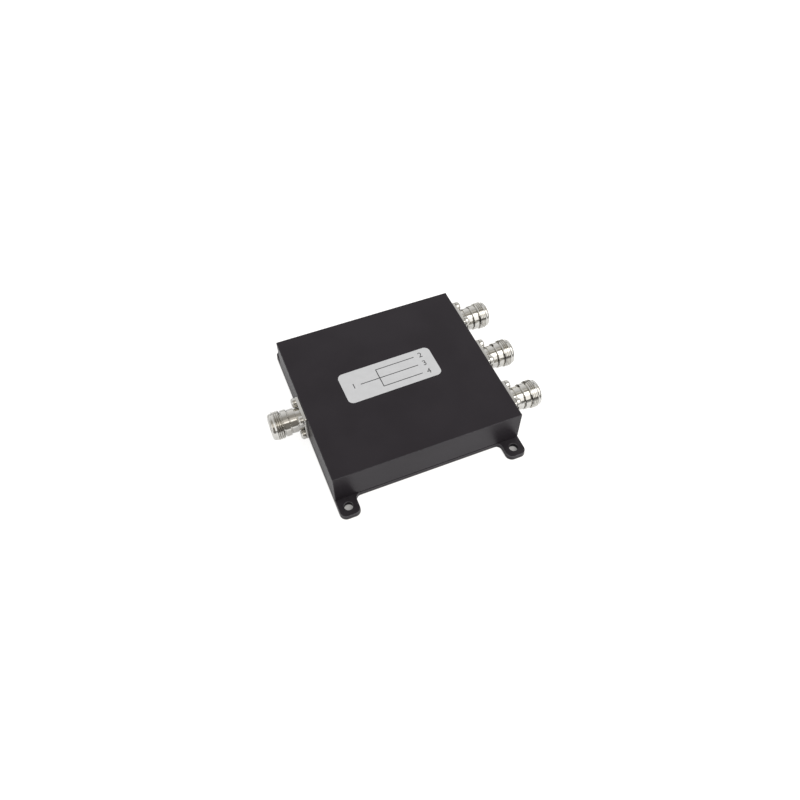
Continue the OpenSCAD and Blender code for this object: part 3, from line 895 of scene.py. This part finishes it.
def makeContact(size):
    tail, tailEnd, tailEdge = size["tail"], size["tailEnd"], size["tailEdge"]
    tip, radius, edge, bore, past = size["tip"], size["radius"], size["edge"], size["bore"], size["cutPast"]
    boreEnd = tip - size["boreDepth"]
    bulgeX, bulgeR = (edge * share for share in size["edgeBulge"])
    rings = [(tailEnd, tail - tailEdge), (tailEnd + tailEdge, tail),
             (size["back"], tail), (size["back"], radius), (tip - edge, radius),
             (tip - bulgeX, radius - bulgeR), (tip, radius - edge),
             (tip, bore + size["boreEdge"]), (tip - size["boreEdge"], bore), (boreEnd, bore),
             (boreEnd - size["borePoint"], size["borePointRadius"])]
    obj = turned("contactPin", rings, size["sides"])
    for turn in (0, 90):
        slotSize = (size["slotLength"] + 2 * past, size["slot"], size["cutWidth"] * radius)
        cutAway(obj, addBlock(slotSize, (tip - size["slotLength"] / 2 + past, 0, 0), turn))
    # the tail is flattened where it lies on the copper
    flatSize = (size["tailLength"] + 2 * past, size["cutWidth"], 2 * past)
    cutAway(obj, addBlock(flatSize, (tailEnd + size["tailLength"] / 2 - past, 0, size["flat"] + past)))
    return cleanMesh(obj, size["smooth"])


panMaster = makePanScrew(panScrew)
screwSetMaster = makeScrewSet(jack, panMaster)
contactMaster = makeContact(contact)
contactGold, insulatorWhite = plainFinish("contactGold"), plainFinish("insulatorWhite")
for port in jack["ports"]:
    shell = atPort(copyOf(shellMaster, port + "Shell"), jack, port)
    dress(shell, port + "_shell", jackNickel)
    screws = atPort(copyOf(screwSetMaster, port + "FlangeScrews"), jack, port)
    dress(screws, port + "_flange_screws", screwNickel)
    pin = atPort(copyOf(contactMaster, port + "Contact"), jack, port)
    dress(pin, port + "_contact", contactGold)
    paint(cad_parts[port + "_insulator"], insulatorWhite)
for master in (shellMaster, panMaster, screwSetMaster, contactMaster):
    bpy.data.objects.remove(master)
print("jacks made")


# label with port numbers and a plain splitting line

label = {"length": 55.3, "width": 21.2, "thick": 0.135, "round": 3.2, "roundSteps": 10, "edge": 0.05,
         "centre": middleOf("label")[:2], "turn": 1.1, "line": 0.5, "split": -6.0, "reach": 17.0, "rows": 6.2,
         "figure": 5.0, "figureGap": 4.2, "ink": 0.012}


def setOnRoof(obj, size, above):
    obj.rotation_euler = (0, 0, math.radians(size["turn"]))
    obj.location = (*size["centre"], caseHigh[2] + above)
    return toMetres(fixPlace(obj))


def makeLabel(size):
    obj = addSheet(size["length"], size["width"], (0, 0, 0))
    obj.name = obj.data.name = "labelSheet"
    bpy.ops.object.mode_set(mode="EDIT")
    bpy.ops.mesh.select_mode(type="VERT")
    bpy.ops.mesh.select_all(action="SELECT")
    bevelPicked(size["round"], size["roundSteps"], "VERTICES")
    pickFaces(obj, lambda c, n: True)
    bpy.ops.mesh.extrude_region_move(TRANSFORM_OT_translate={"value": (0, 0, size["thick"])})
    bpy.ops.object.mode_set(mode="OBJECT")
    cleanMesh(obj)
    breakEdges(obj, size["edge"])
    cleanMesh(obj)
    dress(setOnRoof(obj, size, 0), "label", plainFinish("labelFilm"))


def inkStrip(x0, y0, x1, y1, wide):
    return addSheet(abs(x1 - x0) + wide, abs(y1 - y0) + wide, ((x0 + x1) / 2, (y0 + y1) / 2, 0))


def inkFigure(text, x, y, size):
    clearSelection()
    bpy.ops.object.text_add(location=(0, 0, 0))
    figure = bpy.context.object
    figure.data.body = text
    figure.data.size = size
    figure.data.align_x = "CENTER"
    figure.data.align_y = "CENTER"
    bpy.ops.object.convert(target="MESH")
    figure = bpy.context.object
    figure.location = (x, y, 0)
    return fixPlace(figure)


def makeMarks(size):
    wide, split, reach, figure = size["line"], size["split"], size["reach"], size["figure"]
    rows = (size["rows"], 0, -size["rows"])
    figureX = reach + size["figureGap"]
    parts = [inkStrip(-reach, 0, split - wide, 0, wide), inkStrip(split, rows[2], split, rows[0], wide)]
    parts += [inkStrip(split + wide, y, reach, y, wide) for y in rows]
    parts += [inkFigure("1", -figureX, 0, figure)]
    parts += [inkFigure(number, figureX, y, figure) for number, y in zip("234", rows)]
    obj = joinAll(*parts)
    obj.name = obj.data.name = "labelMarks"
    pickFaces(obj, lambda c, n: True)
    bpy.ops.mesh.extrude_region_move(TRANSFORM_OT_translate={"value": (0, 0, size["ink"])})
    bpy.ops.object.mode_set(mode="OBJECT")
    cleanMesh(obj)
    paint(obj, plainFinish("labelInk"))
    setOnRoof(obj, size, size["thick"])
    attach(obj, "root")


makeLabel(label)
makeMarks(label)
print("label made")
